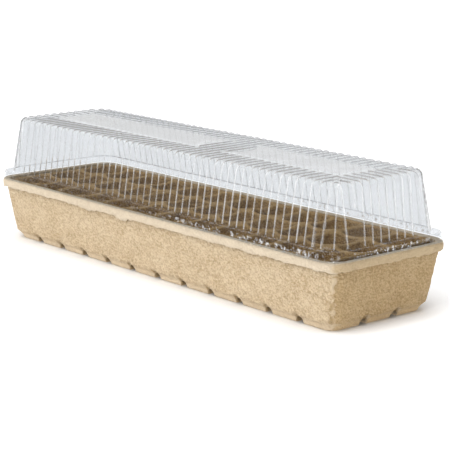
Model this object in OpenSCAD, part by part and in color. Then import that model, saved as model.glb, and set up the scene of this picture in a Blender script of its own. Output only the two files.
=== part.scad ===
// Humidity dome tray for starting seeds on a windowsill.
// A long moulded-fibre tray holds a row of fibre cell packs, and a clear
// ribbed cover stands on the tray's rim and lifts straight off.
// Millimetres. +Z is up, X runs along the tray, and the origin is the
// centre of the tray's underside, in the plane of its feet.

/* [Tray] */
// Overall length over the rim
tray_l = 571; // [560:1:590]
// Overall width over the rim
tray_w = 162; // [158:1:176]
// Height from the feet to the top of the rim
tray_h = 71.5; // [64:0.5:80]
// Corner radius of the rim, seen from above
rim_r = 21; // [16:0.5:26]
// Height of the turned-down rim
rim_h = 8.7; // [7:0.1:12]
// How far the rim stands out from the wall
rim_overhang = 4; // [3.5:0.1:7]
// Thickness of the moulded fibre
tray_t = 2.4; // [2:0.1:3]
// Length over the feet
floor_l = 532; // [530:1:540]
// Width over the feet
floor_w = 126; // [124:1:130]
// Height of the bevel between the feet and the wall
bevel_h = 9; // [8:0.5:12]
// How far the bevel spreads on each side
bevel_out = 6; // [4.5:0.5:7]

/* [Waffle feet] */
// Rows of feet along the tray
feet_x = 12; // [8:1:12]
// Rows of feet across the tray
feet_y = 3; // [2:1:3]
// Height of the channels between the feet
foot_h = 5.5; // [4:0.5:6]
// Width of a channel at the ground
channel_low = 11; // [9:0.5:13]
// Width of a channel at its top
channel_high = 6; // [4:0.5:8]

/* [Cell packs] */
// Cells along the tray in each pack
cells_x = 2; // [2:1:2]
// Cells across the tray in each pack
cells_y = 3; // [3:1:3]
// Pitch of the cells along the tray
cell_pitch_x = 44.5; // [42:0.5:45]
// Pitch of the cells across the tray
cell_pitch_y = 48; // [46:0.5:48]
// Gap between neighbouring packs
pack_gap = 0.6; // [0.4:0.1:2]
// How far the pack tops stay below the top of the rim
pack_drop = 0.5; // [0.3:0.1:3]
// Thickness of the pack fibre
pack_t = 1.8; // [1.4:0.1:2.4]
// Width of a cell opening along the tray
cell_top_x = 40; // [36:0.5:41]
// Width of a cell opening across the tray
cell_top_y = 43; // [38:0.5:44]
// Outside width of a cell at its foot
cell_foot = 28; // [26:0.5:28]
// Depth of the low saddle between two cells
saddle_h = 4; // [0:0.5:5]

/* [Cover] */
// Thickness of the clear sheet
cover_t = 0.8; // [0.6:0.1:1.2]
// Height of the skirt between the rim and the ledge
skirt_h = 9; // [8:0.5:14]
// Width of the ledge at the foot of the ribbed wall
ledge_w = 7.5; // [6:0.5:10]
// How far the foot flange stands out beyond the skirt
flange_out = 2; // [1:0.5:4]
// Height of the cover above the tray's rim, without the ribs
cover_h = 69.5; // [50:0.5:90]
// Inward lean of the ribbed wall over its height, at the two ends
end_lean = 5.5; // [3:0.5:9]
// Inward lean of the ribbed wall over its height, along the two long sides
side_lean = 9; // [3:0.5:11]
// Radius of the rounded edge between wall and top
edge_r = 6; // [4:0.5:10]
// Corner radius of the ribbed wall, seen from above
wall_r = 25; // [16:0.5:28]

/* [Cover ribs] */
// Ribs along each long side
ribs_long = 49; // [21:2:49]
// Ribs across each end
ribs_end = 11; // [5:2:11]
// Pitch of the ribs
rib_pitch = 10.8; // [9:0.1:10.8]
// Width of a rib
rib_w = 3; // [2:0.2:5]
// How far a rib stands out from the sheet
rib_proud = 1.4; // [0.8:0.1:2]
// How far a rib runs inwards over the top
rib_finger = 36; // [10:1:40]

/* [Hidden] */
$fn = 32;
slice = 0.02;       // height of one lofted section
over = 1;           // how far a cut runs past the face it opens
fit_gap = 0.15;     // air left between parts that rest on each other
cell_fn = 16;       // facets round the corners of a cell
edge_step = 30;     // degrees between the sections that round the cover's top edge

fibre_tan = [0.83, 0.73, 0.57];
fibre_brown = [0.55, 0.42, 0.28];
clear_sheet = [0.90, 0.94, 0.96, 0.35];

// Tray: the wall leans out from the bevel to the underside of the rim.
rim_z = tray_h - rim_h;
wall_top_l = tray_l - 2 * rim_overhang;
wall_top_w = tray_w - 2 * rim_overhang;
wall_top_r = rim_r - rim_overhang / 2;
bevel_l = floor_l + 2 * bevel_out;
bevel_w = floor_w + 2 * bevel_out;
bevel_r = 14;
floor_r = 12;
wall_rise = rim_z - bevel_h;
rim_grow_l = rim_h * (wall_top_l - bevel_l) / wall_rise;
rim_grow_w = rim_h * (wall_top_w - bevel_w) / wall_rise;
floor_z = foot_h + tray_t;
foot_pitch_x = floor_l / feet_x;
foot_pitch_y = floor_w / feet_y;

// Packs: they stand on the tray's floor, side by side along X.
pack_count = 6;
pack_pitch = cells_x * cell_pitch_x;
pack_l = pack_pitch - pack_gap;
pack_w = cells_y * cell_pitch_y + 2;
pack_top = tray_h - pack_drop;
pack_foot = floor_z + fit_gap;
pack_r = 7;
web_h = saddle_h + pack_t;
cell_r_top = 9;
cell_r_foot = 6;

// Cover: a skirt stands on the rim, a ledge steps in, and the ribbed wall rises from it.
cover_z = tray_h + fit_gap;
cover_top = tray_h + cover_h;
skirt_l = tray_l - 3;
skirt_w = tray_w - 3;
skirt_r = rim_r - 1;
skirt_edge = 2;
ledge_z = cover_z + skirt_h;
wall_l = skirt_l - 2 * ledge_w;
wall_w = skirt_w - 2 * ledge_w;
wall_h = cover_top - edge_r - ledge_z;
top_l = wall_l - 2 * end_lean;
top_w = wall_w - 2 * side_lean;
top_r = wall_r - 1;
rib_bite = 0.75 * cover_t;   // how deep a rib is rooted in the sheet
rib_runout = 3;           // length of the slope that ends a rib

// A rectangle with rounded corners, centred on the origin.
module rounded_rect(l, w, r) {
    square([l - 2 * r, w], center = true);
    square([l, w - 2 * r], center = true);
    for (x = [-1, 1], y = [-1, 1])
        translate([x * (l / 2 - r), y * (w / 2 - r)])
            circle(r);
}

// A smooth body through rounded rectangles, each given as [length, width, radius, height].
module loft(sections) {
    hull()
        for (s = sections)
            translate([0, 0, s[3]])
                linear_extrude(slice)
                    rounded_rect(s[0], s[1], s[2]);
}

// The outside of the tray below its rim.
module tray_outside() {
    loft([
        [floor_l, floor_w, floor_r, 0],
        [bevel_l, bevel_w, bevel_r, bevel_h],
        [wall_top_l, wall_top_w, wall_top_r, rim_z],
        [wall_top_l + rim_grow_l, wall_top_w + rim_grow_w, wall_top_r + 1, tray_h - slice - 1]
    ]);
}

// The hollow of the tray, down to its floor.
module tray_hollow() {
    t2 = 2 * tray_t;
    loft([
        [floor_l + 1, floor_w + 1, floor_r, floor_z],
        [bevel_l - t2, bevel_w - t2, bevel_r, floor_z + 3],
        [wall_top_l - t2, wall_top_w - t2, wall_top_r - 1, rim_z],
        [wall_top_l - t2 + rim_grow_l, wall_top_w - t2 + rim_grow_w, wall_top_r, tray_h],
    ]);
}

// The rim: rolled outwards and turned down, and open underneath.
module rim() {
    difference() {
        loft([
            [tray_l - 1.2, tray_w - 1.2, rim_r, rim_z],
            [tray_l, tray_w, rim_r, rim_z + 2],
            [tray_l, tray_w, rim_r, tray_h - 3],
            [tray_l - 1.4, tray_w - 1.4, rim_r - 0.5, tray_h - 1],
            [tray_l - 4, tray_w - 4, rim_r - 1.5, tray_h - slice]
        ]);
        translate([0, 0, rim_z - over])
            linear_extrude(rim_h - tray_t + over)
                rounded_rect(tray_l - 2 * tray_t, tray_w - 2 * tray_t, rim_r - tray_t);
    }
}

// One channel in the underside, running along Y, with sloping sides.
module channel(run) {
    flare = over * (channel_low - channel_high) / 2 / foot_h;
    rotate([90, 0, 0])
        linear_extrude(run, center = true)
            polygon([
                [-channel_low / 2 - flare, -over],
                [channel_low / 2 + flare, -over],
                [channel_high / 2, foot_h],
                [-channel_high / 2, foot_h]
            ]);
}

// The grid of channels that leaves the waffle feet standing.
module channels() {
    for (i = [1 : feet_x - 1])
        translate([(i - feet_x / 2) * foot_pitch_x, 0, 0])
            channel(tray_w);
    for (i = [1 : feet_y - 1])
        translate([0, (i - feet_y / 2) * foot_pitch_y, 0])
            rotate([0, 0, 90])
                channel(tray_l);
}

// The hollows inside the feet.
module foot_hollows() {
    hollow_x = foot_pitch_x - channel_low - 2 * tray_t - 1;
    hollow_y = foot_pitch_y - channel_low - 2 * tray_t - 1;
    for (i = [0 : feet_x - 1], j = [0 : feet_y - 1])
        translate([(i + 0.5 - feet_x / 2) * foot_pitch_x, (j + 0.5 - feet_y / 2) * foot_pitch_y,
                   tray_t + floor_z / 2])
            cube([hollow_x, hollow_y, floor_z], center = true);
}

// The moulded-fibre tray.
module tray() {
    color(fibre_tan)
        difference() {
            union() {
                tray_outside();
                rim();
            }
            tray_hollow();
            translate([0, 0, slice])
                tray_hollow();
            channels();
            foot_hollows();
        }
}

// One tapered cell, grown outwards by t.
module cell(t) {
    foot = cell_foot - 2 * pack_t + 2 * t;
    loft([
        [foot, foot, cell_r_foot + t - pack_t, pack_foot + pack_t - t],
        [cell_top_x + 2 * t, cell_top_y + 2 * t, cell_r_top + t, pack_top - slice]
    ], $fn = cell_fn);
}

// Places its children at every cell of a pack.
module at_cells() {
    for (i = [0 : cells_x - 1], j = [0 : cells_y - 1])
        translate([(i - (cells_x - 1) / 2) * cell_pitch_x, (j - (cells_y - 1) / 2) * cell_pitch_y, 0])
            children();
}

// The low saddles in the webs between the cells.
module saddles() {
    saddle_w = cell_top_y / 2;
    for (j = [0 : cells_y - 1])
        translate([0, (j - (cells_y - 1) / 2) * cell_pitch_y, pack_top])
            cube([cell_pitch_x / 2, saddle_w, 2 * saddle_h], center = true);
    for (i = [0 : cells_x - 1], j = [1 : cells_y - 1])
        translate([(i - (cells_x - 1) / 2) * cell_pitch_x, (j - cells_y / 2) * cell_pitch_y, pack_top])
            cube([saddle_w, cell_pitch_y / 2, 2 * saddle_h], center = true);
}

// One fibre cell pack in the middle of the tray.
module cell_pack() {
    difference() {
        union() {
            translate([0, 0, pack_top - web_h])
                linear_extrude(web_h - slice)
                    rounded_rect(pack_l - 2 * pack_t, pack_w - 2 * pack_t, pack_r - pack_t);
            translate([0, 0, pack_top - pack_t])
                linear_extrude(pack_t)
                    rounded_rect(pack_l, pack_w, pack_r);
            at_cells()
                cell(pack_t);
        }
        at_cells() {
            cell(0);
            translate([0, 0, slice])
                cell(0);
        }
        saddles();
    }
}

// Moves a pack to its place in the row, counted from 1 at the -X end.
module placed_pack(place) {
    color(fibre_brown)
        translate([(place - (pack_count + 1) / 2) * pack_pitch, 0, 0])
            cell_pack();
}

module cell_pack_1() { placed_pack(1); }
module cell_pack_2() { placed_pack(2); }
module cell_pack_3() { placed_pack(3); }
module cell_pack_4() { placed_pack(4); }
module cell_pack_5() { placed_pack(5); }
module cell_pack_6() { placed_pack(6); }

// The skirt and its ledge as a block, shrunk inwards by t.
module skirt_block(t) {
    loft([
        [skirt_l + 1 - 2 * t, skirt_w + 1 - 2 * t, skirt_r - t, cover_z - (t > 0 ? over : 0)],
        [skirt_l - 2 * t, skirt_w - 2 * t, skirt_r - t, ledge_z - t - skirt_edge],
        [skirt_l - 2 * skirt_edge - 2 * t, skirt_w - 2 * skirt_edge - 2 * t, skirt_r - t - 1,
         ledge_z - t]
    ]);
}

// The ribbed part without its ribs as a block, shrunk inwards by t.
module wall_block(t) {
    edge = [for (a = [0 : edge_step : 90])
        [top_l - 2 * edge_r * (1 - cos(a)) - 2 * t * cos(a),
         top_w - 2 * edge_r * (1 - cos(a)) - 2 * t * cos(a),
         top_r - t - edge_r * (1 - cos(a)) / 2,
         ledge_z + wall_h + (edge_r - t) * sin(a) - slice]];
    foot = [wall_l - 2 * t, wall_w - 2 * t, wall_r - t, ledge_z - 2 * cover_t];
    loft(concat([foot], edge));
}

// The outline of a rib at a height d above the sheet: up the wall, round the edge, over the top.
function rib_line(d, finger, lean) = concat(
    [[lean + d, 0]],
    [for (a = [0 : edge_step : 90])
        [(edge_r + d) * cos(a) - edge_r, wall_h + (edge_r + d) * sin(a)]],
    [[-finger, wall_h + edge_r + d]]
);

function reversed(list) = [for (i = [len(list) - 1 : -1 : 0]) list[i]];

// One rib, standing on the wall line at X = 0 and facing +X.
module rib(finger, lean) {
    rotate([90, 0, 0])
        linear_extrude(rib_w, center = true)
            polygon(concat(rib_line(rib_proud, finger, lean),
                           reversed(rib_line(-rib_bite, finger + rib_runout, lean))));
}

// How far a rounded corner of radius r has drawn in at a place along a side.
function corner_inset(along, side, r) =
    let (past = max(0, abs(along) - (side - r)))
    r - sqrt(r * r - past * past);

// A row of ribs on the side that faces +X. top and foot each hold the distance from the
// middle to that side and half its length, at the top and at the foot of the wall.
module rib_row(count, top, foot) {
    for (i = [0 : count - 1]) {
        along = (i - (count - 1) / 2) * rib_pitch;
        mitre = top[1] - abs(along) - rib_w;
        top_x = top[0] - corner_inset(along, top[1], top_r);
        foot_x = foot[0] - corner_inset(along, foot[1], wall_r);
        translate([top_x, along, ledge_z])
            rib(max(edge_r + 1, min(rib_finger, mitre)), foot_x - top_x);
    }
}

// The clear ribbed cover.
module dome_cover() {
    color(clear_sheet) {
        difference() {
            union() {
                skirt_block(0);
                wall_block(0);
                translate([0, 0, cover_z])
                    linear_extrude(cover_t)
                        rounded_rect(skirt_l + 1 + 2 * flange_out, skirt_w + 1 + 2 * flange_out,
                                     skirt_r + flange_out);
            }
            skirt_block(cover_t);
            wall_block(cover_t);
        }
        for (turn = [0, 180])
            rotate([0, 0, turn]) {
                rib_row(ribs_end, [top_l, top_w] / 2, [wall_l, wall_w] / 2);
                rotate([0, 0, 90])
                    rib_row(ribs_long, [top_w, top_l] / 2, [wall_w, wall_l] / 2);
            }
    }
}

tray();
cell_pack_1();
cell_pack_2();
cell_pack_3();
cell_pack_4();
cell_pack_5();
cell_pack_6();
dome_cover();
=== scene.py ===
"""Looks for the humidity dome tray: a fibre tray, six fibre cell packs and a clear ribbed cover.

Lengths are in millimetres until a mesh is made, and the outer sizes come from the boxes of the
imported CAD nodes. Each piece replaces the CAD node of the same part and rides on its body.
"""
import math

import bmesh
import bpy
import numpy as np
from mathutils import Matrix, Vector, noise
from mathutils.kdtree import KDTree


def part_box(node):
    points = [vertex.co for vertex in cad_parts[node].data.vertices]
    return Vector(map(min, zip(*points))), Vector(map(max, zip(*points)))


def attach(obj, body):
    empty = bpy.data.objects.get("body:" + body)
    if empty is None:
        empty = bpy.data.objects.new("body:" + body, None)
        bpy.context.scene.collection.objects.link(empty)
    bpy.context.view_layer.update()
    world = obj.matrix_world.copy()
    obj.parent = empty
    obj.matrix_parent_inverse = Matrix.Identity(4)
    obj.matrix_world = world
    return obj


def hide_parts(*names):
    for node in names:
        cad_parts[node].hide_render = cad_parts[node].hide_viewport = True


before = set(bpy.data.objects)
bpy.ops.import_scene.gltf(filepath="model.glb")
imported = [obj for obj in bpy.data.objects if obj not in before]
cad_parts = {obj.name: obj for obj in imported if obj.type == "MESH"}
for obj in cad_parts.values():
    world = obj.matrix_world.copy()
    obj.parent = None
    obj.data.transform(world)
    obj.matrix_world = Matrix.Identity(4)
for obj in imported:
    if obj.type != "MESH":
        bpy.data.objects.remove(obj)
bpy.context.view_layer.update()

MM = 0.001
TINY = 0.001                        # a length smaller than any real one, to allow for rounding


# ---------------------------------------------------------------- sizes from the frame

def node_box(name):
    """Lowest and highest corner of a CAD node in millimetres."""
    low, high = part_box(name)
    return np.array(low) / MM, np.array(high) / MM


TRAY_HIGH = node_box("tray")[1]
COVER_HIGH = node_box("dome_cover")[1]
RIM_X = TRAY_HIGH[0]                # half length over the rim
RIM_Y = TRAY_HIGH[1]                # half width over the rim
RIM_Z = TRAY_HIGH[2]                # top of the rim
FLANGE_X = COVER_HIGH[0]            # half length over the cover's foot flange
FLANGE_Y = COVER_HIGH[1]            # half width over the flange


# ---------------------------------------------------------------- small maths

def smooth(lo, hi, v):
    """0 below lo, 1 above hi, and a smooth step between them."""
    t = np.clip((v - lo) / (hi - lo), 0.0, 1.0)
    return t * t * (3.0 - 2.0 * t)


def spread(lo, hi, step):
    """Even places from lo to hi, about step apart."""
    return np.linspace(lo, hi, max(2, int(round((hi - lo) / step)) + 1))


def joined(*lists):
    """Sorted places from several lists, leaving out those within 0.25 mm of the one before."""
    places = np.unique(np.round(np.concatenate(lists), 3))
    keep = np.concatenate([[True], np.diff(places) > 0.25])
    return places[keep]


def fbm(points, size, seed, octaves=3):
    """Smooth noise from about -1 to 1 at each point, with features about size across."""
    shift = Vector((seed * 17.31, seed * 9.77, seed * 5.13))
    return np.array([
        noise.fractal(Vector(p) / size + shift, 1.0, 2.0, octaves) for p in points
    ])


# ---------------------------------------------------------------- sheets of rounded loops

def loop(half_l, half_w, radius, tx, ty, steps, straight=None):
    """One rounded rectangle seen from above, anticlockwise: places and outward directions.

    tx and ty are places from -1 to 1 along the straight part of the long and the short sides.
    straight is the half length and half width they span, when that isn't the whole straight part.
    """
    a, b = half_l - radius, half_w - radius
    span_x, span_y = straight or (a, b)
    turn = np.linspace(0, math.pi / 2, steps + 1)[1:-1]
    places, ways = [], []

    def side(x, y, way):
        places.append(np.stack([x, y], 1))
        ways.append(np.tile(way, (len(x), 1)))

    def corner(cx, cy, start):
        way = np.stack([np.cos(start + turn), np.sin(start + turn)], 1)
        places.append(np.array([cx, cy]) + radius * way)
        ways.append(way)

    side(tx * span_x, np.full(len(tx), -half_w), (0.0, -1.0))
    corner(a, -b, -math.pi / 2)
    side(np.full(len(ty), half_l), ty * span_y, (1.0, 0.0))
    corner(a, b, 0.0)
    side(-tx * span_x, np.full(len(tx), half_w), (0.0, 1.0))
    corner(-a, b, math.pi / 2)
    side(np.full(len(ty), -half_l), -ty * span_y, (-1.0, 0.0))
    corner(-a, -b, math.pi)
    return np.concatenate(places), np.concatenate(ways)


class Sheet:
    """A surface made of a flat core grid and loops that step away from it, row after row.

    Each row has a tag, a number that says which part of the section it belongs to. The first
    core's tag is 0.
    """

    def __init__(self, tx, ty, steps, straight=None):
        self.tx, self.ty, self.steps = np.asarray(tx), np.asarray(ty), steps
        self.straight = straight
        self.points, self.ways, self.tags = [], [], []
        self.faces = []
        self.count = 0
        self.last = None

    def _add(self, points, ways, tag):
        first = self.count
        self.points.append(points)
        self.ways.append(ways)
        self.tags.append(np.full(len(points), tag))
        self.count += len(points)
        return first

    def core(self, a, b, z, tag, up=True):
        """The grid inside a loop of no radius. Returns the numbers of its edge, as a loop."""
        nx, ny = len(self.tx), len(self.ty)
        gx, gy = np.meshgrid(self.tx * a, self.ty * b, indexing="ij")
        points = np.stack([gx.ravel(), gy.ravel(), np.full(nx * ny, z)], 1)
        first = self._add(points, np.zeros((nx * ny, 2)), tag)

        def at(i, j):
            return first + i * ny + j

        for i in range(nx - 1):
            for j in range(ny - 1):
                quad = (at(i, j), at(i + 1, j), at(i + 1, j + 1), at(i, j + 1))
                self.faces.append(quad if up else quad[::-1])
        bend = self.steps - 1
        edge = [at(i, 0) for i in range(nx)] + [at(nx - 1, 0)] * bend
        edge += [at(nx - 1, j) for j in range(ny)] + [at(nx - 1, ny - 1)] * bend
        edge += [at(nx - 1 - i, ny - 1) for i in range(nx)] + [at(0, ny - 1)] * bend
        edge += [at(0, ny - 1 - j) for j in range(ny)] + [at(0, 0)] * bend
        return edge

    def join(self, inner, outer):
        """Faces between two loops, leaving out those with no area."""
        n = len(inner)
        for i in range(n):
            k = (i + 1) % n
            ring = []
            for v in (inner[i], outer[i], outer[k], inner[k]):
                if v not in ring:
                    ring.append(v)
            if len(ring) > 2:
                self.faces.append(tuple(ring))

    def start(self, a, b, z):
        self.last = self.core(a, b, z, 0)

    def row(self, half_l, half_w, radius, z, tag):
        flat, ways = loop(half_l, half_w, radius, self.tx, self.ty, self.steps, self.straight)
        points = np.column_stack([flat, np.full(len(flat), z)])
        first = self._add(points, ways, tag)
        outer = list(range(first, self.count))
        self.join(self.last, outer)
        self.last = outer

    def close(self, a, b, z, tag):
        """Ends the sheet in a second core grid, so that the surface closes."""
        edge = self.core(a, b, z, tag, up=False)
        self.join(self.last, edge)

    def arrays(self):
        return np.concatenate(self.points), np.concatenate(self.ways), np.concatenate(self.tags)


def smooth_shading(mesh):
    mesh.polygons.foreach_set("use_smooth", [True] * len(mesh.polygons))


def make_piece(name, points, faces, material):
    """A smooth-shaded mesh object from places in millimetres, with repeated points merged."""
    mesh = bpy.data.meshes.new(name)
    mesh.from_pydata((points * MM).tolist(), [], faces)
    work = bmesh.new()
    work.from_mesh(mesh)
    bmesh.ops.remove_doubles(work, verts=work.verts, dist=0.02 * MM)
    bmesh.ops.recalc_face_normals(work, faces=work.faces)
    work.to_mesh(mesh)
    work.free()
    smooth_shading(mesh)
    mesh.materials.append(material)
    piece = bpy.data.objects.new(name, mesh)
    bpy.context.scene.collection.objects.link(piece)
    return piece


def mark_vertices(mesh, points, marks):
    """Stores named values at each vertex for the material. Merging may have renumbered them."""
    tree = KDTree(len(points))
    for number, point in enumerate(points * MM):
        tree.insert(point, number)
    tree.balance()
    nearest = [tree.find(v.co)[1] for v in mesh.vertices]
    for name, values in marks.items():
        mesh.attributes.new(name, "FLOAT", "POINT").data.foreach_set("value", values[nearest])


def thicken(piece, thickness):
    """Makes a sheet a closed solid, growing away from its outer side."""
    solid = piece.modifiers.new("thickness", "SOLIDIFY")
    solid.thickness = thickness * MM
    solid.offset = -1.0
    solid.use_even_offset = False


def place_piece(piece, node):
    """The piece stands for a CAD node and rides on its body."""
    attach(piece, node)
    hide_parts(node)


# ---------------------------------------------------------------- writing node trees

class Nodes:
    """A short way to write the node tree of a material or of the world."""

    def __init__(self, owner, output="OutputMaterial"):
        self.owner = owner
        owner.use_nodes = True
        self.tree = owner.node_tree
        self.tree.nodes.clear()
        self.out = self.add(output)

    def feed(self, socket, value):
        """Links an input to the output of another node, or sets it to a plain value."""
        if isinstance(value, bpy.types.NodeSocket):
            self.tree.links.new(value, socket)
        else:
            socket.default_value = value

    def add(self, kind, **values):
        """A node. A key is the name of a setting or an input, or i and the input's number."""
        node = self.tree.nodes.new("ShaderNode" + kind)
        for key, value in values.items():
            if hasattr(node, key) and key not in node.inputs:
                setattr(node, key, value)
            elif key[0] == "i" and key[1:].isdigit():
                self.feed(node.inputs[int(key[1:])], value)
            else:
                self.feed(node.inputs[key.replace("_", " ")], value)
        return node

    def mark(self, name):
        """A value stored at the vertices by mark_vertices."""
        return self.add("Attribute", attribute_name=name).outputs["Fac"]

    def noise(self, place, scale, detail=3.0, roughness=0.6):
        return self.add("TexNoise", Vector=place, Scale=scale, Detail=detail,
                        Roughness=roughness).outputs["Fac"]

    def bump(self, height, distance, **values):
        return self.add("Bump", Height=height, Distance=distance, **values).outputs[0]

    def ramp(self, value, stops):
        """A colour ramp with (position, colour) stops."""
        node = self.add("ValToRGB", Fac=value)
        marks = node.color_ramp.elements
        while len(marks) < len(stops):
            marks.new(0.5)
        for mark, (position, colour) in zip(marks, stops):
            mark.position = position
            mark.color = (*colour, 1.0)
        return node.outputs["Color"]

    def grey_ramp(self, value, stops):
        return self.ramp(value, [(p, (v, v, v)) for p, v in stops])

    def mix(self, factor, a, b, blend="MIX"):
        """Colour b over colour a, by a factor from 0 to 1."""
        node = self.add("Mix", data_type="RGBA", blend_type=blend)
        # The mix node keeps its factor in input 0, and its colours in inputs 6 and 7 and output 2.
        for number, value in ((0, factor), (6, a), (7, b)):
            self.feed(node.inputs[number], (*value, 1.0) if isinstance(value, tuple) else value)
        return node.outputs[2]

    def math(self, operation, first, *others):
        """Arithmetic on two values, or on several one after another."""
        result = first
        for other in others:
            result = self.add("Math", operation=operation, i0=result, i1=other).outputs[0]
        return result

    def plus(self, *values):
        return self.math("ADD", *values)

    def less(self, a, b):
        return self.math("SUBTRACT", a, b)

    def times(self, *values):
        return self.math("MULTIPLY", *values)

    def finish(self, surface):
        self.tree.links.new(surface, self.out.inputs["Surface"])
        return self.owner


# ---------------------------------------------------------------- moulded fibre

# The deep brown that closed-in places are darkened towards: painted shade.
PAINTED_SHADE_TONE = (0.16, 0.10, 0.05)
PAINTED_FOOT_GLOW = 0.16                 # painted glow on the ground side of the feet, standing in for light the white floor throws up
# In these tones, "ends" darkens the end walls as painted shade, and "foot" is partly wear and partly
# painted light.
TAN = {
    "light": (0.91, 0.75, 0.53), "middle": (0.81, 0.635, 0.42), "dark": (0.62, 0.45, 0.26),
    "rim": (0.97, 0.84, 0.66), "foot": (0.97, 0.80, 0.58), "ends": (0.81, 0.74, 0.61),
}
BROWN = {
    "light": (0.53, 0.35, 0.15), "middle": (0.38, 0.225, 0.075), "dark": (0.21, 0.115, 0.035),
    "rim": (0.54, 0.37, 0.17), "foot": (0.38, 0.22, 0.07), "ends": (1.0, 1.0, 1.0),
}


def mottled_colour(n, place, patch, speck, strand, grit, bumps, tones):
    """Soft patches, specks and strands, and painted light and shade: each bump pale above, dark below.
    """
    cloud = n.noise(place, 38.0, 4.0, 0.6)
    tone = n.plus(n.times(cloud, 0.25), n.times(patch, 0.30), n.times(grit, 0.45))
    colour = n.ramp(tone, [(0.40, tones["dark"]), (0.51, tones["middle"]), (0.60, tones["light"])])
    colour = n.mix(n.grey_ramp(speck, [(0.60, 0.0), (0.74, 0.45)]), colour, tones["dark"])
    colour = n.mix(n.grey_ramp(strand, [(0.62, 0.0), (0.78, 0.35)]), colour, tones["light"])
    # Painted light and shade on the bumps: the noise a little higher up, less the noise here.
    above = n.add("Mapping", Vector=place, Location=(0.0005, 0.0005, 0.0011)).outputs[0]
    painted_bump_shading = n.plus(n.less(n.noise(above, bumps, 2.0, 0.8), grit), 0.5)
    colour = n.mix(n.grey_ramp(painted_bump_shading, [(0.53, 0.0), (0.64, 0.60)]), colour, tones["dark"])
    return n.mix(n.grey_ramp(painted_bump_shading, [(0.36, 0.75), (0.47, 0.0)]), colour, tones["light"])


def marked_colour(n, colour, rim, foot, tones):
    """Paler edges, partly wear and partly painted highlight, and the tones of the rim and the feet,
    with painted shade on the end walls and painted light and shade on the corner folds.
    """
    shape = n.add("NewGeometry")
    # Paler convex edges: partly wear and partly painted highlight where the edges catch the light.
    edge_wear_and_highlight = n.grey_ramp(shape.outputs["Pointiness"], [(0.52, 0.0), (0.62, 0.5)])
    colour = n.mix(edge_wear_and_highlight, colour, tones["light"])
    # On the packs the rim tone is a painted highlight on the lit tops of the cell lips and webs.
    colour = n.mix(n.times(rim, 0.7), colour, tones["rim"])
    # The feet's paler tone is partly wear and partly painted light on their floor-facing side.
    colour = n.mix(n.times(foot, 0.7), colour, tones["foot"])
    # Painted shade on the end walls: surfaces facing along the tray are multiplied by the darker end
    # tone.
    along_x = n.add("SeparateXYZ", Vector=shape.outputs["Normal"]).outputs["X"]
    either_end = n.add("Math", operation="ABSOLUTE", i0=along_x).outputs[0]
    ends = n.grey_ramp(either_end, [(0.56, 0.0), (0.76, 1.0)])
    colour = n.mix(ends, colour, n.mix(1.0, colour, tones["ends"], "MULTIPLY"))
    # Painted highlight on the ridges of the crinkled corner, and painted shade in its creases and in a
    # line just under the rim.
    painted_shading = n.mark("painted_shading")
    colour = n.mix(n.grey_ramp(painted_shading, [(0.56, 0.0), (0.75, 0.7)]), colour, tones["light"])
    fold_shadow = n.grey_ramp(painted_shading, [(0.25, 1.0), (0.44, 0.0)])
    has_mark = n.math("GREATER_THAN", painted_shading, 0.001)
    return n.mix(n.times(fold_shadow, has_mark, 0.75), colour, tones["dark"])


def painted_crease_shade(n, rim, foot, reach):
    """Painted shade for a closed-in place, 0 to 1, from ambient occlusion, and less of it on the rim
    and the feet.
    """
    openness = n.add("AmbientOcclusion", samples=6, Distance=reach).outputs["AO"]
    shade = n.grey_ramp(openness, [(0.25, 0.85), (0.80, 0.0)])
    return n.times(shade, n.less(1.0, n.times(foot, 0.85)), n.less(1.0, n.times(rim, 0.8)))


def pulp_relief(n, place, fine, grain, pits):
    """The larger hollows, with the fine surface on top of them."""
    hollow = n.noise(place, 260.0, 3.0, 0.6)
    swirl = n.add("TexNoise", Vector=place, Scale=170.0, Detail=3.0, Roughness=0.55,
                  Distortion=1.2).outputs["Fac"]
    coarse = n.bump(n.plus(n.times(hollow, 1.2), swirl), pits, Strength=1.0)
    return n.bump(fine, grain, Strength=1.0, Normal=coarse)


def fibre_material(name, tones, bumps, grain, pits, shade_reach):
    """Moulded paper pulp: mottled colour with painted light and shade on each bump, fine fibres,
    pits, and paler edges that are partly wear and partly painted highlight.

    bumps is how many bumps there are to a metre, about. grain is the depth of the fine surface,
    pits that of the larger hollows, and the last argument how far the painted shade of a
    closed-in place reaches, all in metres. The vertex marks are "rim" for the rim, "foot" for
    the ground side of the feet, whose paler tone is partly wear and partly painted light and
    which glow a little as painted light, and a mark of painted shading: over 0.5 for a painted
    highlight on the ridges of a crinkled corner, and under it for painted shade in its creases
    and in a line just under the rim.
    """
    n = Nodes(bpy.data.materials.new(name))
    place = n.add("TexCoord").outputs["Object"]
    patch = n.noise(place, 160.0, 3.0, 0.65)
    speck = n.noise(place, 900.0, 2.0, 0.7)
    drawn_out = n.add("Mapping", Vector=place, Scale=(1.0, 1.0, 0.32)).outputs[0]
    strand = n.noise(drawn_out, 1500.0, 2.0, 0.8)
    grit = n.noise(place, bumps, 2.0, 0.8)
    rim = n.mark("rim")
    foot = n.mark("foot")
    colour = mottled_colour(n, place, patch, speck, strand, grit, bumps, tones)
    colour = marked_colour(n, colour, rim, foot, tones)
    # Painted shade: closed-in places are darkened towards a deep brown.
    colour = n.mix(painted_crease_shade(n, rim, foot, shade_reach), colour, PAINTED_SHADE_TONE)
    relief = pulp_relief(n, place, n.plus(speck, strand, grit), grain, pits)
    rough = n.grey_ramp(patch, [(0.3, 0.82), (0.7, 0.96)])
    # The feet glow a little: painted light standing in for the floor's bounce.
    surface = n.add(
        "BsdfPrincipled", Base_Color=colour, Roughness=rough, Normal=relief,
        Specular_IOR_Level=0.25, Emission_Color=colour,
        Emission_Strength=n.times(foot, PAINTED_FOOT_GLOW))
    return n.finish(surface.outputs[0])


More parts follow.
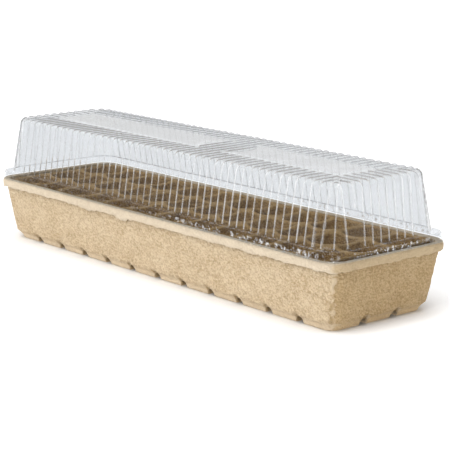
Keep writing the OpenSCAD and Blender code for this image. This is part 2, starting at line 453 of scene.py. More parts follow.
# ---------------------------------------------------------------- clear sheet

SHEET_SHINE = 0.014                 # share of light each face of the clear sheet reflects head on
PAINTED_GLINT_SHINE = 0.30                   # painted glints: extra shine in spots on the ledge and the skirt
TOP_SHEEN = 0.34                     # painted sheen on the top at a low angle, standing in for its reflection
RIB_HIGHLIGHT = 0.36                     # painted highlight along a rib: milky white standing in for its reflection
WHITE = (1.0, 1.0, 1.0, 1.0)


def rib_lines(n, place, facing):
    """How strongly a rib shows, 0 to 1: on a surface seen edge on, and on one seen face on."""
    rib = n.math("POWER", n.mark("rib"), 1.6)
    uneven = n.grey_ramp(n.noise(place, 28.0, 2.0, 0.6), [(0.38, 0.6), (0.62, 1.0)])
    edge_on = n.grey_ramp(facing, [(0.60, 0.0), (0.74, 1.0)])
    return n.times(rib, edge_on, uneven), n.times(rib, n.less(1.0, edge_on), uneven)


def sheet_tint(n, facing, top_line, wall_line, painted_light):
    """The colour that light takes on its way through the sheet."""
    tint = n.ramp(facing, [
        (0.0, (0.884, 0.892, 0.900)),
        (0.50, (0.886, 0.894, 0.902)),
        (0.74, (0.955, 0.962, 0.968)),
        (0.90, (0.930, 0.940, 0.950)),
        (1.0, (0.76, 0.78, 0.80)),
    ])
    # Painted shade: ribs seen face on are painted greyer away from the right end, and ribs seen edge
    # on become dark lines, standing in for light bent away at their sides.
    tint = n.mix(n.times(wall_line, n.less(1.0, painted_light), 0.5), tint, (0.80, 0.81, 0.82))
    return n.mix(n.times(top_line, 0.95), tint, (0.14, 0.15, 0.16))


def sheet_haze_and_sheen(n, place, facing, top_line, wall_line, painted_light, glint_zone):
    """How milky the sheet is in faint spots, with a painted highlight along the ribs and a painted
    sheen on the top at a low angle.
    """
    spots = n.grey_ramp(n.noise(place, 240.0, 3.0, 0.6), [(0.45, 0.0), (0.75, 0.015)])
    # Painted highlight: ribs seen face on are painted milky white, most towards the right end.
    along_ribs = n.times(wall_line, n.plus(n.times(painted_light, 0.65), 0.35), RIB_HIGHLIGHT)
    # Painted sheen: the sheet seen at a low angle, mostly the top, is painted milky white, fading
    # towards the right end and left out where glints are painted and on edge-on ribs.
    low_angle = n.grey_ramp(facing, [(0.64, 0.0), (0.78, TOP_SHEEN)])
    fade_to_right = n.less(1.1, n.times(painted_light, 0.6))
    on_top = n.times(low_angle, n.less(1.0, top_line), n.less(1.0, glint_zone), fade_to_right)
    return n.plus(spots, along_ribs, on_top)


def sheet_mirror(n, place, facing, painted_glint, glint_zone):
    """Share of light that the sheet reflects, 0 to 1, with painted glints on the ledge and the skirt.
    """
    # Schlick's formula, the same from both sides: the sheet's inner face isn't a total mirror.
    grazing = n.math("POWER", facing, 5.0)
    mirror = n.plus(n.times(grazing, 1.0 - SHEET_SHINE), SHEET_SHINE)
    # Painted shade on the reflection: where glints are painted, the mirror share is cut to 30%,
    # standing in for the ledge and skirt reflecting darker parts of the room.
    mirror = n.times(mirror, n.less(1.0, n.times(glint_zone, 0.7)))
    # Painted glints: spots of extra shine where the glints are painted.
    glint_spots = n.grey_ramp(n.noise(place, 320.0, 2.0, 0.6), [(0.53, 0.0), (0.60, PAINTED_GLINT_SHINE)])
    return n.math("MINIMUM", n.plus(mirror, n.times(painted_glint, glint_spots)), 1.0)


def clear_sheet_material():
    """Thin clear plastic: see-through face on, greyer and shinier edge on, a little hazed.

    Painted highlights and dark lines mark the ribs, a painted sheen whitens the top at a low
    angle, and painted glints sit on the ledge and the skirt.
    """
    n = Nodes(bpy.data.materials.new("clear_sheet"))
    place = n.add("TexCoord").outputs["Object"]
    wavy = n.bump(n.noise(place, 55.0, 2.0, 0.5), 0.00025, Strength=1.0)
    normal = n.bump(n.noise(place, 420.0, 2.0, 0.5), 0.00006, Strength=0.5, Normal=wavy)
    facing = n.add("LayerWeight", Blend=0.5, Normal=normal).outputs["Facing"]
    top_line, wall_line = rib_lines(n, place, facing)
    # Painted light along the tray, 0 at the left and 1 towards the right end: ribs are painted whiter
    # to the right and greyer to the left.
    along = n.add("SeparateXYZ", Vector=place).outputs["X"]
    painted_light = n.add("MapRange", Value=along, From_Min=-0.20, From_Max=0.15).outputs[0]
    # Where glints are painted on the ledge and the skirt.
    painted_glint = n.mark("painted_glint")
    glint_zone = n.math("GREATER_THAN", painted_glint, 0.05)

    tint = sheet_tint(n, facing, top_line, wall_line, painted_light)
    haze_and_sheen = sheet_haze_and_sheen(n, place, facing, top_line, wall_line, painted_light, glint_zone)
    clear = n.add("BsdfTransparent", Color=tint).outputs[0]
    cloudy = n.add("BsdfDiffuse", Color=(0.98, 0.99, 1.0, 1.0)).outputs[0]
    # A faint glow on the ribs seen face on: painted highlight.
    painted_rib_glow = n.add("Emission", Color=WHITE, Strength=n.times(wall_line, 0.3)).outputs[0]
    haze_and_glow = n.add("AddShader", i0=cloudy, i1=painted_rib_glow).outputs[0]
    sheet = n.add("MixShader", Fac=haze_and_sheen, i1=clear, i2=haze_and_glow).outputs[0]
    shine = n.add("BsdfGlossy", Color=WHITE, Roughness=0.06, Normal=normal).outputs[0]
    mirror = sheet_mirror(n, place, facing, painted_glint, glint_zone)
    return n.finish(n.add("MixShader", Fac=mirror, i1=sheet, i2=shine).outputs[0])


# ---------------------------------------------------------------- the fibre tray

FEET_X = 12                         # feet along the tray
FEET_Y = 3                          # feet across it
FOOT_X = RIM_X - 19.5               # half length over the feet
FOOT_Y = RIM_Y - 18.0               # half width over the feet
FOOT_R = 12.0                       # corner radius of the outline over the feet
FOOT_H = 5.5                        # height of the channels between the feet
OVERHANG = 4.0                      # how far the rim stands out from the wall
BEVEL_OUT = 5.7                     # how far the bevel spreads from the feet
BEVEL_TOP = 9.5                     # height at which the bevel meets the wall
FIBRE_T = 2.4                       # thickness of the floor
SEAM_X = 206.0                      # faint upright mould seam on the front wall

# Tags of the tray's rows, in order from the middle of the underside, round the rim, to the floor.
(MIDDLE, UNDERSIDE, BEVEL, WALL, LIP_BACK, LIP_FOOT, LIP_FACE, LIP_TOP,
 INNER_WALL, FLOOR_CURVE, FLOOR) = range(11)


def channel_height(x, y):
    """Height of the underside over the ground: 0 under a foot, FOOT_H in a channel."""

    def across(u, half, count):
        pitch = 2 * half / count
        near = np.clip(np.round(u / pitch + count / 2), 1, count - 1) - count / 2
        return 1.0 - smooth(2.8, 5.8, np.abs(u - near * pitch))

    return FOOT_H * np.maximum(across(x, FOOT_X, FEET_X), across(y, FOOT_Y, FEET_Y))


def channel_places(half, count, reach, step):
    """Places along a side, closer together where the channels turn up."""
    pitch = 2 * half / count
    lines = [(i - count / 2) * pitch for i in range(1, count)]
    detail = np.array([0.0, 2.0, 2.9, 3.6, 4.3, 5.0, 5.7, 6.5])
    near = [line + way * detail for line in lines for way in (-1, 1)]
    return joined(spread(-reach, reach, step), *[p[np.abs(p) < reach - 0.5] for p in near],
                  np.array([-reach, reach]))


def outer_rows(sheet):
    """From the underside, round the foot and up the bevel and the wall."""
    x, y, r = FOOT_X, FOOT_Y, FOOT_R
    for radius in (3.0, 6.5, 9.5):
        sheet.row(x - r + radius, y - r + radius, radius, 0.0, UNDERSIDE)
    edge_r = 2.5
    for turn in (30, 60, 90):
        lean = edge_r * (1 - math.sin(math.radians(turn)))
        rise = edge_r * (1 - math.cos(math.radians(turn)))
        sheet.row(x - lean, y - lean, r - lean, rise, UNDERSIDE)
    for step in (0.3, 0.55, 0.8, 1.0):
        out = BEVEL_OUT * step ** 1.3
        z = edge_r + (BEVEL_TOP - edge_r) * step
        sheet.row(x + out, y + out, r + 2 * step, z, BEVEL)
    low_x, low_y = x + BEVEL_OUT, y + BEVEL_OUT
    top_x, top_y = RIM_X - OVERHANG, RIM_Y - OVERHANG
    wall_top = RIM_Z - 9.0
    for t in np.linspace(0, 1, 38)[1:]:
        sheet.row(low_x + (top_x - low_x) * t, low_y + (top_y - low_y) * t, 14 + 4 * t,
                  BEVEL_TOP + (wall_top - BEVEL_TOP) * t, WALL)


def lip_rows(sheet):
    """From the head of the wall, round the rolled rim to its inner edge."""
    section = (
        # (distance in from the rim's outside, depth below the rim's top, tag)
        (3.9, 6.5, LIP_BACK), (3.8, 3.2, LIP_BACK), (3.5, 2.6, LIP_BACK), (2.9, 2.6, LIP_BACK),
        (2.6, 3.4, LIP_BACK),
        (2.4, 6.0, LIP_FOOT), (2.2, 7.8, LIP_FOOT), (1.8, 8.6, LIP_FOOT), (1.1, 8.7, LIP_FOOT),
        (0.45, 8.5, LIP_FOOT),
        (0.2, 7.9, LIP_FACE), (0.05, 6.6, LIP_FACE), (0.0, 5.0, LIP_FACE), (0.0, 3.4, LIP_FACE),
        (0.3, 2.0, LIP_FACE), (1.0, 0.8, LIP_FACE),
        (2.0, 0.15, LIP_TOP), (3.3, 0.0, LIP_TOP), (4.6, 0.0, LIP_TOP), (5.7, 0.25, LIP_TOP),
        (6.4, 0.9, LIP_TOP),
        (6.75, 2.0, INNER_WALL),
    )
    for d, drop, tag in section:
        sheet.row(RIM_X - d, RIM_Y - d, 21.0 - 0.5 * d, RIM_Z - drop, tag)


def inner_rows(sheet):
    """Down the inside of the wall and round on to the floor."""
    top_x, top_y, top_z = RIM_X - 6.9, RIM_Y - 6.9, RIM_Z - 4.0
    end_x, end_y, end_z = FOOT_X + 1.8, FOOT_Y + 2.0, 12.0
    for t in np.linspace(0, 1, 16)[1:]:
        sheet.row(top_x + (end_x - top_x) * t, top_y + (end_y - top_y) * t, 17.5 - 4 * t,
                  top_z + (end_z - top_z) * t, INNER_WALL)
    for turn in (30, 60, 90):
        lean = 5.0 * (1 - math.cos(math.radians(turn)))
        z = end_z - (end_z - FIBRE_T) * math.sin(math.radians(turn))
        sheet.row(end_x - lean, end_y - lean, 13.5 - lean, z, FLOOR_CURVE)
    radius = 4.0
    sheet.row(FOOT_X - FOOT_R + radius, FOOT_Y - FOOT_R + radius, radius, FIBRE_T, FLOOR_CURVE)


def tray_sheet():
    core_x, core_y = FOOT_X - FOOT_R, FOOT_Y - FOOT_R
    tx = channel_places(FOOT_X, FEET_X, core_x, 2.6) / core_x
    ty = channel_places(FOOT_Y, FEET_Y, core_y, 3.0) / core_y
    sheet = Sheet(tx, ty, 16)
    sheet.start(core_x, core_y, 0.0)
    outer_rows(sheet)
    lip_rows(sheet)
    inner_rows(sheet)
    sheet.close(core_x, core_y, FIBRE_T, FLOOR)
    return sheet


def rim_burrs(points, ways):
    """How far the torn lower edge of the rim hangs down at each point, most in two front drips."""
    x, y = points[:, 0], points[:, 1]
    ragged = np.maximum(fbm(points, 9.0, 3) + 0.1, 0.0) * 2.2
    front = (ways[:, 1] < -0.5) * (y < 0)
    first = smooth(-122, -112, x) * (1 - smooth(-90, -85, x)) * 2.0
    second = smooth(-54, -40, x) * (1 - smooth(-33, -29, x)) * 4.5
    torn = 0.6 + 0.6 * np.abs(fbm(points, 4.0, 5))
    return ragged + front * (first + second) * torn


def corner_folds(points, ways):
    """Folds where the pulp bunches round a corner: from about -1 to 1 there, and 0 elsewhere."""
    corner = np.minimum(np.abs(ways[:, 0]), np.abs(ways[:, 1])) * math.sqrt(2)
    return fbm(points * (1.0, 1.0, 0.7), 5.5, 4, 2) * smooth(0.62, 1.0, corner)


def roughen_tray(points, ways, tags, folds):
    """Pulp is never quite flat: the walls swell, the corners are crinkled and the rim is torn."""
    rest = points.copy()
    x, y = rest[:, 0], rest[:, 1]
    outside = np.isin(tags, (BEVEL, WALL))
    swell = 0.45 * fbm(rest, 46.0, 1) + 0.22 * fbm(rest, 9.0, 2)
    crinkle = (0.8 + 1.8 * (x > 0) * (y < 0)) * folds * outside
    seam = 0.5 * np.exp(-((x - SEAM_X) / 1.8) ** 2) * (ways[:, 1] < -0.9) * (tags == WALL)
    inwards = np.where(np.isin(tags, (INNER_WALL, FLOOR_CURVE)), -1.0, 1.0)
    give = np.where(outside | (tags == INNER_WALL), 1.0, 0.0)
    give += 0.45 * np.isin(tags, (LIP_BACK, LIP_FOOT, LIP_FACE))
    push = inwards * give * (swell + crinkle) + seam
    points[:, :2] += ways * push[:, None]
    points[:, 2] += np.where(tags == LIP_TOP, 0.12 * fbm(rest, 14.0, 6), 0.0)
    points[:, 2] -= np.where(tags == LIP_FOOT, rim_burrs(rest, ways), 0.0)
    points[:, 2] += np.where(tags >= FLOOR_CURVE, 0.3 * np.abs(fbm(rest, 11.0, 7)), 0.0)


def build_tray(material):
    sheet = tray_sheet()
    points, ways, tags = sheet.arrays()
    x, y, z = points.T.copy()

    # The channels lift the underside, the foot of the wall and the floor above them.
    raised = channel_height(x, y)
    fade = np.clip(1.0 - z / 15.0, 0.0, 1.0)
    floor_fade = np.clip(1.0 - (z - FIBRE_T) / 10.0, 0.0, 1.0)
    points[:, 2] += np.where(tags <= WALL, raised * fade, 0.0)
    points[:, 2] += np.where(tags >= INNER_WALL, raised * floor_fade, 0.0)

    folds = corner_folds(points, ways)
    roughen_tray(points, ways, tags, folds)

    # The marks: the rim, the ground side of the feet, and painted highlight and shade on the folds of
    # the near corner, with a painted shadow line just under the rim.
    near_corner = np.isin(tags, (BEVEL, WALL)) * (ways[:, 1] < 0) * (ways[:, 0] > 0)
    under_rim = (tags == WALL) * smooth(RIM_Z - 12.0, RIM_Z - 9.3, z)
    on_ground = (tags <= BEVEL) * (1.0 - smooth(4.0, 10.0, z)) * (1.0 - raised / FOOT_H)
    piece = make_piece("fibre_tray", points, sheet.faces, material)
    mark_vertices(piece.data, points, {
        "rim": ((tags >= LIP_BACK) & (tags <= LIP_TOP)) * 1.0,
        "foot": on_ground,
        "painted_shading": 0.5 + 0.9 * near_corner * folds - 0.22 * under_rim,
    })
    place_piece(piece, "tray")


# ---------------------------------------------------------------- the cell packs

PACKS = 6
CELLS_X = 2
CELLS_Y = 3
CELL_X = 44.5                       # pitch of the cells along the tray
CELL_Y = 48.0                       # pitch of the cells across it
PACK_R = 7.0                        # corner radius of a pack

# Tags of a cell's rows, in order from the middle of its floor up to the web round it.
CELL_MIDDLE, CELL_FLOOR, CELL_WALL, CELL_LIP, WEB, WEB_EDGE = range(6)


def cell_rows(sheet, top, foot):
    """One cell from its floor up to its rolled lip and out to the middle of the web."""
    deep = top - foot
    for half, radius, rise in ((7.0, 3.5, 0.0), (10.6, 5.0, 0.3), (12.2, 5.4, 1.6)):
        sheet.row(half, half, radius, foot + rise, CELL_FLOOR)
    for t in np.linspace(0, 1, 14)[1:]:
        sheet.row(12.2 + 7.2 * t, 12.2 + 9.0 * t, 5.4 + 3.6 * t, foot + 1.6 + (deep - 4.2) * t,
                  CELL_WALL)
    for out, drop in ((0.25, 1.6), (0.7, 0.8), (1.4, 0.3)):
        sheet.row(19.4 + out, 21.2 + out, 9.0 + out, top - drop, CELL_LIP)
    sheet.row(CELL_X / 2 - 0.6, CELL_Y / 2 - 0.7, 7.0, top - 0.2, WEB)
    sheet.row(CELL_X / 2, CELL_Y / 2, 0.05, top - 0.35, WEB_EDGE)


def grid_of_cells(top, foot):
    """Points, tags and faces of a pack's cells on their pitch, around the middle of the pack."""
    places = np.linspace(-1, 1, 9)
    points, tags, faces = [], [], []
    count = 0
    for i in range(CELLS_X):
        for j in range(CELLS_Y):
            sheet = Sheet(places, places, 6)
            sheet.start(4.0, 4.0, foot)
            cell_rows(sheet, top, foot)
            cell, _, cell_tags = sheet.arrays()
            shift = ((i - (CELLS_X - 1) / 2) * CELL_X, (j - (CELLS_Y - 1) / 2) * CELL_Y, 0.0)
            points.append(cell + np.array(shift))
            tags.append(cell_tags)
            faces += [tuple(count + v for v in face) for face in sheet.faces]
            count += len(cell)
    return np.concatenate(points), np.concatenate(tags), faces


def web_saddle(x, y):
    """1 in the middle of the web between two cells, and 0 away from it."""
    web_x = np.abs((x / CELL_X + CELLS_X / 2) % 1.0 - 0.5) * 2
    web_y = np.abs((y / CELL_Y + CELLS_Y / 2) % 1.0 - 0.5) * 2
    inner_x = np.abs(x) < CELL_X * 0.75
    inner_y = np.abs(y) < CELL_Y * 1.25
    along = smooth(0.72, 0.95, web_x) * (1 - smooth(0.30, 0.62, web_y)) * inner_x
    across = smooth(0.72, 0.95, web_y) * (1 - smooth(0.30, 0.62, web_x)) * inner_y
    return np.maximum(along, across)


def fit_outline(points, half):
    """Brings the grid of cells to the pack's own half length and width, with rounded corners."""
    points[:, :2] *= half / np.array([CELLS_X * CELL_X / 2, CELLS_Y * CELL_Y / 2])
    core = half - PACK_R
    past = np.abs(points[:, :2]) - core
    in_corner = np.all(past > 0, 1)[:, None]
    reach = np.hypot(past[:, 0], past[:, 1])
    pull = PACK_R / np.maximum(reach, PACK_R)
    drawn = np.sign(points[:, :2]) * (core + past * pull[:, None])
    points[:, :2] = np.where(in_corner, drawn, points[:, :2])


def roughen_pack(points, tags, near_top, seed):
    """Lets the top waver and the cell walls bulge. Each pack's seed gives it its own shape."""
    rest = points.copy()
    points[:, 2] += 0.18 * near_top * fbm(rest, 30.0, 20 + seed)
    points[:, 2] += 0.25 * near_top * fbm(rest, 6.0, 30 + seed)
    bulge = 0.35 * fbm(rest, 12.0, 40 + seed) * (tags == CELL_WALL)
    points[:, 0] += bulge
    points[:, 1] += bulge


def pack_shape(seed, low, high):
    """Points, faces and tags of one pack's upper skin, inside its own box."""
    middle = (low + high) / 2
    top, foot = high[2] - 0.2, low[2] + 1.9
    points, tags, faces = grid_of_cells(top, foot)
    near_top = smooth(top - 16, top - 1, points[:, 2])
    points[:, 2] -= 1.6 * web_saddle(points[:, 0], points[:, 1]) * near_top
    fit_outline(points, (high - low)[:2] / 2 - (0.2, 1.0))
    roughen_pack(points, tags, near_top, seed)
    points[:, 2] = np.minimum(points[:, 2], high[2] - 0.02)
    return points + np.array([middle[0], middle[1], 0.0]), faces, tags


def turn_down_edge(mesh, drop, out):
    """Gives the open outer edge of a pack a short lip that turns down. Lengths in metres."""
    end_from, side_from = 41.0 * MM, 69.0 * MM      # past these, an edge point is on that side

    def outwards(away, start):
        return math.copysign(out, away) if abs(away) > start else 0.0

    work = bmesh.new()
    work.from_mesh(mesh)
    rim = [e for e in work.edges if e.is_boundary]
    grown = bmesh.ops.extrude_edge_only(work, edges=rim)
    middle = sum((v.co for v in work.verts), Vector()) / len(work.verts)
    for v in (g for g in grown["geom"] if isinstance(g, bmesh.types.BMVert)):
        away = v.co - middle
        v.co += Vector((outwards(away.x, end_from), outwards(away.y, side_from), -drop))
    bmesh.ops.recalc_face_normals(work, faces=work.faces)
    if sum(f.normal.z * f.calc_area() for f in work.faces) < 0:
        bmesh.ops.reverse_faces(work, faces=work.faces)
    work.to_mesh(mesh)
    work.free()
    smooth_shading(mesh)


def build_pack(number, material):
    node = f"cell_pack_{number}"
    points, faces, tags = pack_shape(number, *node_box(node))
    piece = make_piece(f"fibre_pack_{number}", points, faces, material)
    # The cell lips and webs take the paler rim tone and less painted shade: a painted highlight on
    # their lit tops.
    mark_vertices(piece.data, points, {"rim": 0.6 * (tags >= CELL_LIP)})
    turn_down_edge(piece.data, 3.2 * MM, 0.15 * MM)
    thicken(piece, 1.5)
    place_piece(piece, node)


# ---------------------------------------------------------------- the clear cover

RIB_PROUD = 1.4                     # how far the ribs stand out
RIB_PITCH = 10.8
RIBS_LONG = 49
RIBS_END = 11
FINGER = 38.0                       # how far the ribs run in over the top
SADDLE_X = 42.0                     # middle of the stretch where they run right across
SADDLE_HALF = 34.0                  # half its length
COVER_Z = COVER_HIGH[2] - RIB_PROUD     # top of the sheet
END_LEAN = 5.4                      # how far the ribbed wall leans in, at the ends
SIDE_LEAN = 8.9                     # and along the long sides
WALL_IN = 9.35                      # how far the foot of the wall stands in from the flange
WALL_X = FLANGE_X - WALL_IN - END_LEAN      # half length of the wall just under its rounded edge
WALL_Y = FLANGE_Y - WALL_IN - SIDE_LEAN     # and its half width there
WALL_R = 24.0                       # corner radius of the wall there
EDGE_R = 6.0                        # radius of the rounded edge round the top
CORE_X, CORE_Y = WALL_X - WALL_R, WALL_Y - WALL_R
LEDGE_Z = RIM_Z + 9.15              # top of the ledge at the foot of the wall
SHEET_T = 0.45


def ridge(offset):
    """Height of a rib, 0 to 1, at a distance from its middle line."""
    return 1.0 - smooth(0.35, 1.4, np.abs(offset))


def rib_offset(place, count):
    """Distance from a place along a side to the nearest rib of a row with this many ribs."""
    half = (count - 1) / 2
    near = np.clip(np.round(place / RIB_PITCH + half), 0, count - 1) - half
    return place - near * RIB_PITCH


def rib_places(reach, count):
    """Places along a side, set closer together across each rib."""
    half = (count - 1) / 2
    detail = np.array([-5.4, -3.9, -2.6, -2.0, -1.4, -0.7, 0.0, 0.7, 1.4, 2.0, 2.6, 3.9])
    near = np.concatenate([(i - half) * RIB_PITCH + detail for i in range(count)])
    near = near[np.abs(near) < reach - 0.3]
    return joined(near, np.array([-reach, reach]))


def cover_rows(sheet):
    """The cover's section, from its top down the ribbed wall to the foot flange.

    Returns how steeply each row faces upwards, in degrees, in the order of the tags, and the tag
    of the last row with ribs.
    """
    tilts = [90.0]

    def row(half_l, half_w, radius, z, tilt):
        sheet.row(half_l, half_w, radius, z, len(tilts))
        tilts.append(tilt)

    for radius in (4.0, 8.0, 12.0, 15.5, WALL_R - EDGE_R):
        row(CORE_X + radius, CORE_Y + radius, radius, COVER_Z, 90.0)
    top = COVER_Z - EDGE_R
    for turn in range(78, -1, -13):
        out = EDGE_R * (1 - math.cos(math.radians(turn)))
        z = top + EDGE_R * math.sin(math.radians(turn))
        row(WALL_X - out, WALL_Y - out, WALL_R - out, z, turn)
    for t in np.linspace(0, 1, 12)[1:]:
        row(WALL_X + END_LEAN * t, WALL_Y + SIDE_LEAN * t, WALL_R + t,
            top + (LEDGE_Z + 1.0 - top) * t, 8.0)
    last_ribbed = len(tilts) - 1
    foot_x, foot_y = WALL_X + END_LEAN, WALL_Y + SIDE_LEAN
    out_x, out_y = FLANGE_X - 2.5, FLANGE_Y - 2.5
    section = (
        # (half length, half width, corner radius, height)
        (foot_x + 0.5, foot_y + 0.5, 25.0, LEDGE_Z + 0.25),
        (foot_x + 1.6, foot_y + 1.6, 25.0, LEDGE_Z),
        (foot_x + 3.4, foot_y + 3.4, 23.5, LEDGE_Z),
        (out_x - 2.2, out_y - 2.2, 20.0, LEDGE_Z),
        (out_x - 1.0, out_y - 1.0, 20.0, LEDGE_Z - 0.35),
        (out_x - 0.25, out_y - 0.25, 20.0, LEDGE_Z - 1.2),
        (out_x, out_y, 20.2, LEDGE_Z - 2.6),
        (out_x + 0.15, out_y + 0.15, 20.3, LEDGE_Z - 4.6),
        (out_x + 0.3, out_y + 0.3, 20.4, LEDGE_Z - 6.4),
        (out_x + 0.5, out_y + 0.5, 20.6, RIM_Z + 1.3),
        (out_x + 1.0, out_y + 1.0, 21.0, RIM_Z + 0.8),
        (FLANGE_X - 0.6, FLANGE_Y - 0.6, 22.0, RIM_Z + 0.7),
        (FLANGE_X - 0.05, FLANGE_Y - 0.05, 22.4, RIM_Z + 0.7),
    )
    for half_l, half_w, radius, z in section:
        row(half_l, half_w, radius, z, 0.0)
    return np.array(tilts), last_ribbed


def wall_ribs(points, ways):
    """Rib height, 0 to 1, on the walls and round their corners."""
    x, y = points[:, 0], points[:, 1]
    long_rib = ridge(rib_offset(x, RIBS_LONG))
    end_rib = ridge(rib_offset(y, RIBS_END))
    near_side = np.where(np.abs(ways[:, 1]) > np.abs(ways[:, 0]), long_rib, end_rib)
    angle = np.arctan2(np.abs(ways[:, 1]), np.abs(ways[:, 0]))
    radius = np.hypot(np.abs(x) - CORE_X, np.abs(y) - CORE_Y)
    middle = ridge((angle - math.radians(45.0)) * radius)
    corner = (np.abs(x) > CORE_X + TINY) & (np.abs(y) > CORE_Y + TINY)
    return np.where(corner, np.maximum(near_side, middle), near_side)


def from_saddle(x, y):
    """Distance from the middle of the saddle, whose ends curve in towards the long edges."""
    return np.abs(x - SADDLE_X) + 0.02 * y * y


def top_ribs(points):
    """Rib height, 0 to 1, on the top: fingers that run in from each side and meet on the mitres."""
    x, y = points[:, 0], points[:, 1]
    from_long = WALL_Y - np.abs(y)
    from_end = WALL_X - np.abs(x)
    saddle = 1 - smooth(SADDLE_HALF - 5, SADDLE_HALF, from_saddle(x, y))
    long_mask = np.maximum(1 - smooth(FINGER - 5, FINGER, from_long), saddle)
    end_mask = 1 - smooth(FINGER - 5, FINGER, from_end)
    long_rib = ridge(rib_offset(x, RIBS_LONG)) * long_mask
    end_rib = ridge(rib_offset(y, RIBS_END)) * end_mask
    return np.where(from_long < from_end, long_rib, end_rib)


def top_panel(points):
    """Height of the smooth raised panel in the middle of the top, 0 to 1."""
    x, y = points[:, 0], points[:, 1]
    edge = np.minimum(WALL_Y - np.abs(y), WALL_X - np.abs(x))
    clear_of_saddle = smooth(SADDLE_HALF - 4, SADDLE_HALF + 3, from_saddle(x, y))
    return smooth(FINGER + 2, FINGER + 5, edge) * clear_of_saddle


def ledge_glints(points, ways, tags, last_ribbed):
    """Where glints are painted on the ledge and the skirt: most under each rib and towards the right
    end.
    """
    along = np.where(np.abs(ways[:, 1]) > 0.5, rib_offset(points[:, 0], RIBS_LONG),
                     rib_offset(points[:, 1], RIBS_END))
    folds = 0.3 + 0.7 * (1.0 - smooth(1.5, 4.0, np.abs(along)))
    folds = folds * (0.2 + 1.2 * smooth(-60.0, 200.0, points[:, 0]))
    # No painted glints where the sheet bends: at the foot of the wall and at the ledge's edge.
    bends = np.isin(tags - last_ribbed, (1, 5, 6))
    return np.where((tags > last_ribbed) & ~bends, folds, 0.0)


def build_cover(material):
    tx = rib_places(CORE_X, RIBS_LONG) / CORE_X
    ty = rib_places(CORE_Y, RIBS_END) / CORE_Y
    sheet = Sheet(tx, ty, 28, straight=(CORE_X, CORE_Y))
    sheet.start(CORE_X, CORE_Y, COVER_Z)
    tilts, last_ribbed = cover_rows(sheet)
    points, ways, tags = sheet.arrays()
    rest = points.copy()
    tilt = np.radians(tilts[tags])
    normal = np.column_stack([ways * np.cos(tilt)[:, None], np.sin(tilt)])
    flat = tilts[tags] > 89.0
    normal[flat] = (0.0, 0.0, 1.0)

    ribbed = tags <= last_ribbed
    ribs = np.where(ribbed, np.where(flat, top_ribs(rest), wall_ribs(rest, ways)), 0.0)
    push = RIB_PROUD * 0.96 * ribs
    push += np.where(flat, 0.7 * top_panel(rest), 0.0)
    push += np.where(ribbed, 0.168 * fbm(rest, 55.0, 11, 2), 0.0)
    loose = tags > last_ribbed + 3
    push += np.where(loose, 0.2 * fbm(rest, 12.0, 12, 2), 0.0)
    points += normal * push[:, None]
    points[:, 2] = np.minimum(points[:, 2], COVER_HIGH[2])
    points[:, 0] = np.clip(points[:, 0], -FLANGE_X, FLANGE_X)
    points[:, 1] = np.clip(points[:, 1], -FLANGE_Y, FLANGE_Y)

    piece = make_piece("clear_cover", points, sheet.faces, material)
    if sum(f.normal.z * f.area for f in piece.data.polygons) < 0:
        piece.data.flip_normals()
    # The places of the painted glints on the ledge and the skirt.
    folds = ledge_glints(rest, ways, tags, last_ribbed)
    mark_vertices(piece.data, points, {"rib": ribs, "painted_glint": folds})
    thicken(piece, SHEET_T)
    place_piece(piece, "dome_cover")


# ---------------------------------------------------------------- floor, light and camera

FLOOR_GLOW = 0.40                   # glow of the white floor, which the painted contact shadow takes away near the tray
SHADOW_REACH = 0.04                 # metres of floor that the painted contact shadow spreads over
WORLD_STRENGTH = 0.56
KEY_STRENGTH = 1.85
GLOSSY_WHITE = 0.5                  # how far the room looks plain white in reflections


def build_floor():
    n = Nodes(bpy.data.materials.new("floor_paper"))
    place = n.add("TexCoord").outputs["Object"]
    tone = n.ramp(n.noise(place, 3.0), [(0.3, (0.86, 0.865, 0.875)), (0.7, (0.88, 0.885, 0.89))])
    paper = n.add("BsdfDiffuse", Color=tone).outputs[0]
    # Painted contact shadow: the floor's glow fades where ambient occlusion finds the tray close by.
    openness = n.add("AmbientOcclusion", samples=8, Distance=SHADOW_REACH).outputs["AO"]
    strength = n.grey_ramp(openness, [(0.40, 0.0), (0.90, FLOOR_GLOW)])
    glow = n.add("Emission", Color=WHITE, Strength=strength).outputs[0]
    surface = n.add("AddShader", i0=paper, i1=glow).outputs[0]
    mesh = bpy.data.meshes.new("floor")
    half = 9.0                      # metres, so that no edge is seen
    corners = [(-half, -half, 0), (half, -half, 0), (half, half, 0), (-half, half, 0)]
    mesh.from_pydata(corners, [], [(0, 1, 2, 3)])
    mesh.materials.append(n.finish(surface))
    floor = bpy.data.objects.new("floor", mesh)
    floor.location.z = -0.1 * MM
    bpy.context.scene.collection.objects.link(floor)


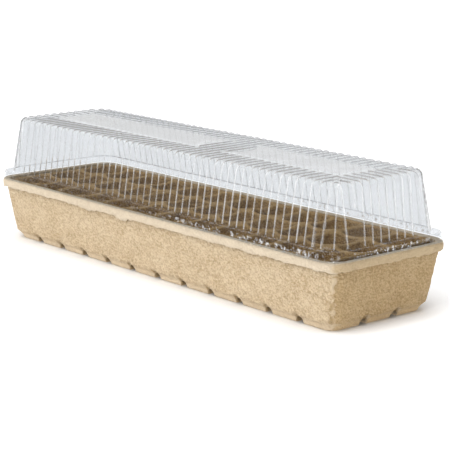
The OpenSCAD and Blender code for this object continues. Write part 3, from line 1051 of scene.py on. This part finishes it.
def build_world():
    """White to the camera; a soft room with a bright window band for everything else."""
    n = Nodes(bpy.data.worlds.new("studio"), "OutputWorld")
    up = n.add("SeparateXYZ", Vector=n.add("TexCoord").outputs["Generated"]).outputs["Z"]
    height = n.add("MapRange", Value=up, From_Min=-1.0).outputs[0]
    bands = ((0.0, 0.9), (0.52, 0.95), (0.58, 0.45), (0.62, 1.9), (0.66, 0.5), (0.80, 0.8), (1.0, 1.3))
    sky = n.ramp(height, [(position, (v, v, v * 1.01)) for position, v in bands])
    room = n.add("Background", Color=sky, Strength=WORLD_STRENGTH).outputs[0]
    white = n.add("Background", Strength=1.0).outputs[0]
    ray = n.add("LightPath").outputs
    whiteness = n.plus(n.times(ray["Is Glossy Ray"], GLOSSY_WHITE), ray["Is Camera Ray"])
    both = n.add("MixShader", Fac=whiteness, i1=room, i2=white).outputs[0]
    bpy.context.scene.world = n.finish(both)


def build_key_light():
    light = bpy.data.lights.new("key", "SUN")
    light.energy = KEY_STRENGTH
    light.angle = math.radians(50.0)
    light.color = (1.0, 0.985, 0.96)
    key = bpy.data.objects.new("key", light)
    towards = Vector((0.10, -0.64, 0.82))
    key.rotation_euler = towards.to_track_quat("Z", "Y").to_euler()
    bpy.context.scene.collection.objects.link(key)


def build_camera():
    """A long lens at the angle the object is seen from: near its front right, and a little above."""
    azimuth, elevation = math.radians(49.74), math.radians(12.57)
    distance = 1.8458
    target = Vector((-0.0802, 0.0990, 0.0216))
    back = Vector((math.sin(azimuth) * math.cos(elevation),
                   -math.cos(azimuth) * math.cos(elevation), math.sin(elevation)))
    data = bpy.data.cameras.new("camera")
    data.sensor_width = 36.0
    data.lens = 126.96
    data.clip_end = 50.0
    camera = bpy.data.objects.new("camera", data)
    camera.location = target + back * distance
    camera.rotation_euler = back.to_track_quat("Z", "Y").to_euler()
    bpy.context.scene.collection.objects.link(camera)
    bpy.context.scene.camera = camera


# ---------------------------------------------------------------- putting it together

tan_fibre = fibre_material("tan_fibre", TAN, bumps=400.0, grain=0.0011, pits=0.0020, shade_reach=0.010)
brown_fibre = fibre_material("brown_fibre", BROWN, bumps=560.0, grain=0.0005, pits=0.0010,
                             shade_reach=0.013)
clear_sheet = clear_sheet_material()

build_tray(tan_fibre)
for number in range(1, PACKS + 1):
    build_pack(number, brown_fibre)
build_cover(clear_sheet)
build_floor()
build_world()
build_key_light()
build_camera()

scene = bpy.context.scene
scene.view_settings.view_transform = "Standard"
scene.cycles.transparent_max_bounces = 32
